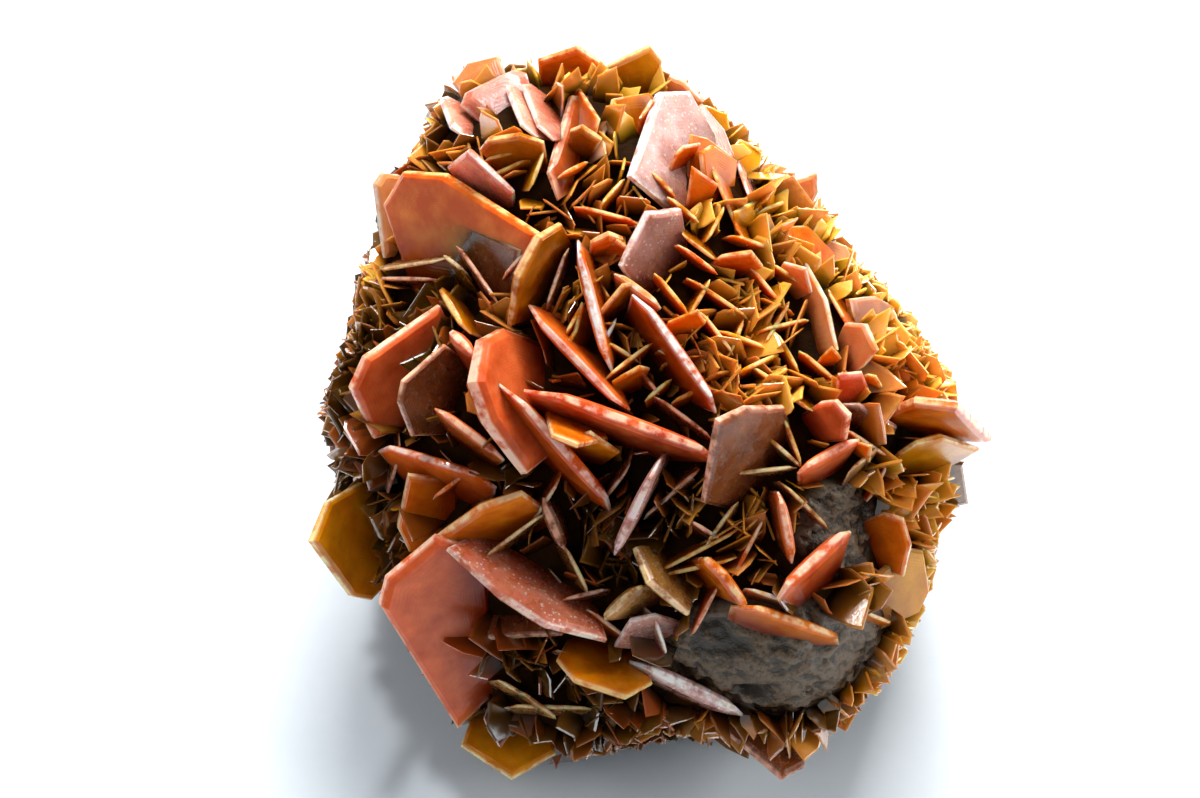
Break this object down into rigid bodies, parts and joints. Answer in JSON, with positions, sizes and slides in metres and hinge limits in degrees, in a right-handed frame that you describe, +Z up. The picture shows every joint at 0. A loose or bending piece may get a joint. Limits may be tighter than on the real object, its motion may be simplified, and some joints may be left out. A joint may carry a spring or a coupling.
{
  "type": "wulfenite crystal specimen",
  "caption": "Wulfenite specimen: thin orange, salmon and amber tabular crystals standing over a druse of small blades on a lump of dark matrix with a bare glassy corner.",
  "frame": {"origin": "middle of the small flat that the specimen rests on", "axes": "+Z up from the flat, -Y towards the viewer of the display face, +X to that viewer's right"},
  "size_m": [0.0475, 0.0465, 0.0379],
  "materials": {
    "matrix": "dark rock under a sugary olive-gold druse",
    "salmon": "translucent, frosted",
    "orange": "translucent, bright",
    "amber": "translucent, bright",
    "gold": "translucent, bright",
    "peach": "translucent, frosted",
    "pink": "translucent, frosted",
    "mauve": "translucent, frosted",
    "rust": "translucent, bright",
    "tan": "translucent, sugary",
    "brown": "translucent, sugary"
  },
  "bodies": {
    "root": {"matrix": "matrix", "orange_shelf_upper_left": "orange", "peach_plate_far_left": "peach", "pink_plate_far_left": "pink", "pink_block_top_left": "pink", "peach_plate_top_left": "peach", "rose_plate_upper_left": "pink", "orange_plate_top": "orange", "gold_plate_top": "gold", "peach_plate_top_right": "peach", "mauve_plate_top": "mauve", "amber_plate_top": "amber", "amber_ledge_top_left": "amber", "mauve_plate_middle": "mauve", "peach_blade_middle": "peach", "orange_plate_middle": "orange", "long_blade_centre": "orange", "long_blade_left_of_centre": "salmon", "long_pale_blade": "salmon", "orange_plate_left": "salmon", "brown_plate_left": "brown", "salmon_blade_left": "salmon", "gold_plate_far_left": "gold", "salmon_plate_front_left": "salmon", "gold_plate_bottom_left": "gold", "amber_plate_bottom": "amber", "tan_plate_front": "tan", "tan_blade_front": "tan", "mauve_plate_front": "mauve", "brown_plate_right": "brown", "salmon_plate_right": "salmon", "brown_plate_far_right": "brown", "orange_lip_right": "orange", "salmon_blade_lower_right": "salmon", "upright_blade_right": "rust", "glossy_blade_right": "orange", "brown_plate_lower_right": "brown", "orange_roof_top_right": "orange", "orange_plate_upper_right": "orange", "peach_plate_corner": "peach", "amber_block_right": "amber", "pale_plate_right": "peach", "orange_plate_lower_right": "orange"}
  },
  "joints": []
}
